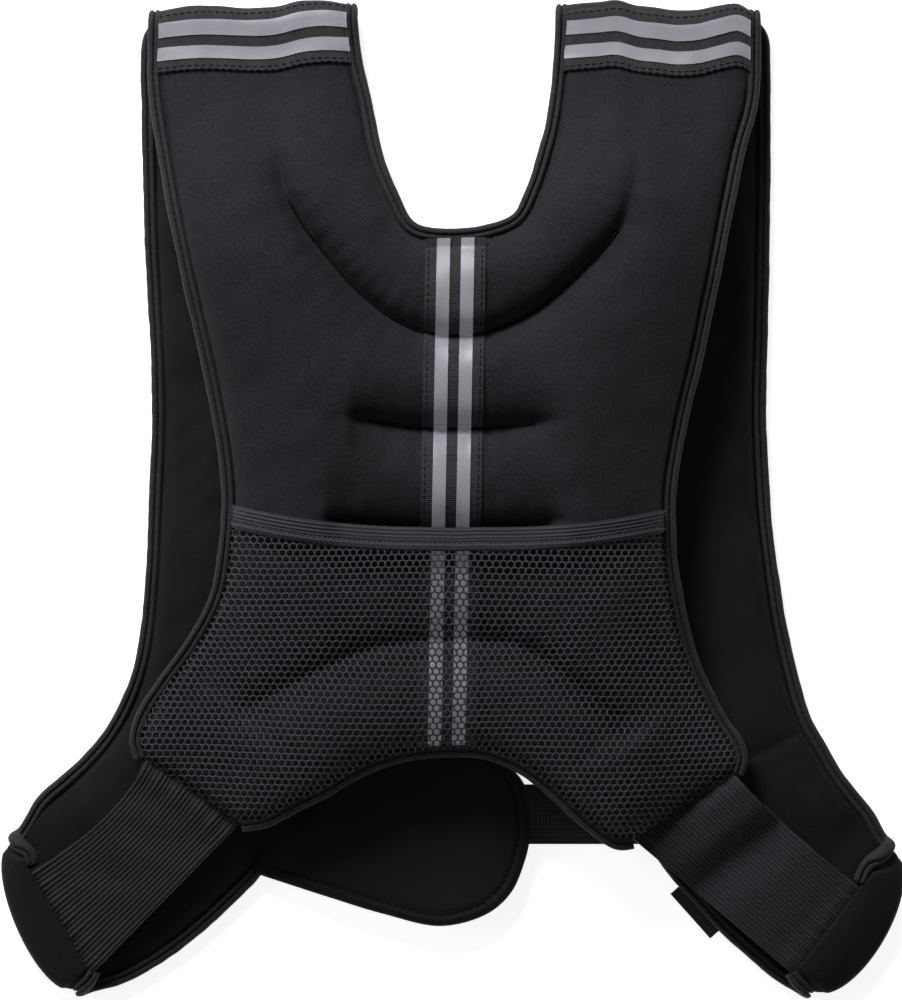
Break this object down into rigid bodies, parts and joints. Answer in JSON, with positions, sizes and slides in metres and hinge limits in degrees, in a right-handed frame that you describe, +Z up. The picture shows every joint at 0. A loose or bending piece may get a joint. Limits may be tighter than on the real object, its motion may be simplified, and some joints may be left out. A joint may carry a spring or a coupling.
{
  "type": "weighted vest",
  "caption": "Padded weighted vest lying front side down, with quilted back panel, mesh pocket, reflective tapes, side elastic bands and a front strap with flap.",
  "frame": {"origin": "middle of the vest's box on the surface that it lies on", "axes": "+Y from the hips to the shoulder folds, +X to the right seen from above, +Z up, away from the surface"},
  "size_m": [0.3812, 0.422, 0.0546],
  "materials": {
    "neoprene": "matt knit-faced neoprene",
    "lining": "matt smooth knit lining",
    "binding": "soft knit edge binding with a stitch line",
    "tape": "fine ribbed grosgrain",
    "reflective": "grey retroreflective cloth, satin",
    "net": "open hexagonal net",
    "hem": "ribbed elastic hem with chain stitch",
    "elastic": "ribbed elastic webbing",
    "webbing": "coarse woven webbing",
    "buckle": "matt moulded plastic"
  },
  "bodies": {
    "root": {"back_panel": "neoprene", "binding_neck": "binding", "binding_arm_left": "binding", "binding_arm_right": "binding", "binding_lower": "binding", "front_panel_left": "lining", "front_panel_right": "lining", "binding_front_left_outer": "binding", "binding_front_left_inner": "binding", "binding_front_right_outer": "binding", "binding_front_right_inner": "binding", "shoulder_tape_left": "tape", "shoulder_stripe_left_upper": "reflective", "shoulder_stripe_left_lower": "reflective", "shoulder_tape_right": "tape", "shoulder_stripe_right_upper": "reflective", "shoulder_stripe_right_lower": "reflective", "spine_tape": "tape", "spine_stripe_left": "reflective", "spine_stripe_right": "reflective", "pocket_hem": "hem", "pocket_mesh": "net", "elastic_band_left": "elastic", "elastic_band_right": "elastic", "closure_flap": "neoprene", "belt_webbing": "webbing", "belt_stub": "webbing", "belt_buckle": "buckle", "strap_tab": "webbing"}
  },
  "joints": []
}
